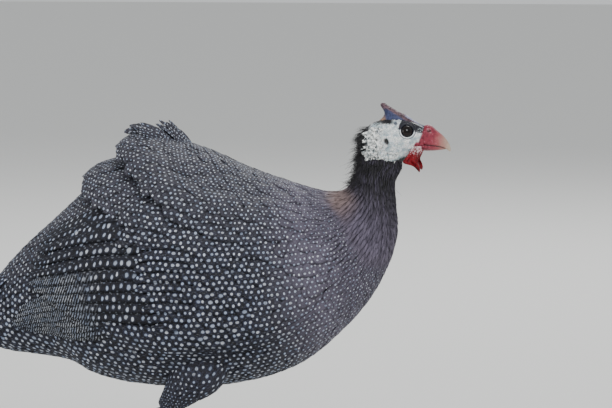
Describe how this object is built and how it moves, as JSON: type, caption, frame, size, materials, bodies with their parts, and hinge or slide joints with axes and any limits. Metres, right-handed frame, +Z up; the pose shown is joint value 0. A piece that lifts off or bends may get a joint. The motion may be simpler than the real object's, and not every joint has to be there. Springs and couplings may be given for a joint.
{
  "type": "helmeted guinea fowl",
  "caption": "Life-size still model of an adult helmeted guinea fowl standing with its head up, in pearl-spotted grey plumage",
  "frame": {"origin": "on the floor, under the middle of the bird's box", "axes": "+X the way the bird faces, +Y its left, +Z up"},
  "size_m": [0.4151, 0.1766, 0.3306],
  "materials": {
    "plumage": "matt feathers, slate grey with white spots",
    "neck_plumage": "short soft feathers, lavender grey to black",
    "face_skin": "bare wrinkled skin, bluish white",
    "casque_horn": "dull horn, brownish pink",
    "bill_horn": "smooth horn, red at the base and ivory at the tip",
    "wattle_skin": "bare skin, bright red",
    "eye": "wet and shiny, dark brown",
    "leg_skin": "scaly skin, dark grey",
    "claw_horn": "smooth horn, nearly black"
  },
  "bodies": {
    "root": {"torso": "plumage", "tail": "plumage", "wing_right": "plumage", "wing_left": "plumage", "thigh_right": "plumage", "thigh_left": "plumage", "neck": "neck_plumage", "head": "face_skin", "casque": "casque_horn", "bill_upper": "bill_horn", "bill_lower": "bill_horn", "wattle_right": "wattle_skin", "wattle_left": "wattle_skin", "eye_right": "eye", "eye_left": "eye", "shank_right": "leg_skin", "shank_left": "leg_skin", "foot_right": "leg_skin", "foot_left": "leg_skin", "claw_inner_right": "claw_horn", "claw_middle_right": "claw_horn", "claw_outer_right": "claw_horn", "claw_hind_right": "claw_horn", "claw_inner_left": "claw_horn", "claw_middle_left": "claw_horn", "claw_outer_left": "claw_horn", "claw_hind_left": "claw_horn"}
  },
  "joints": []
}
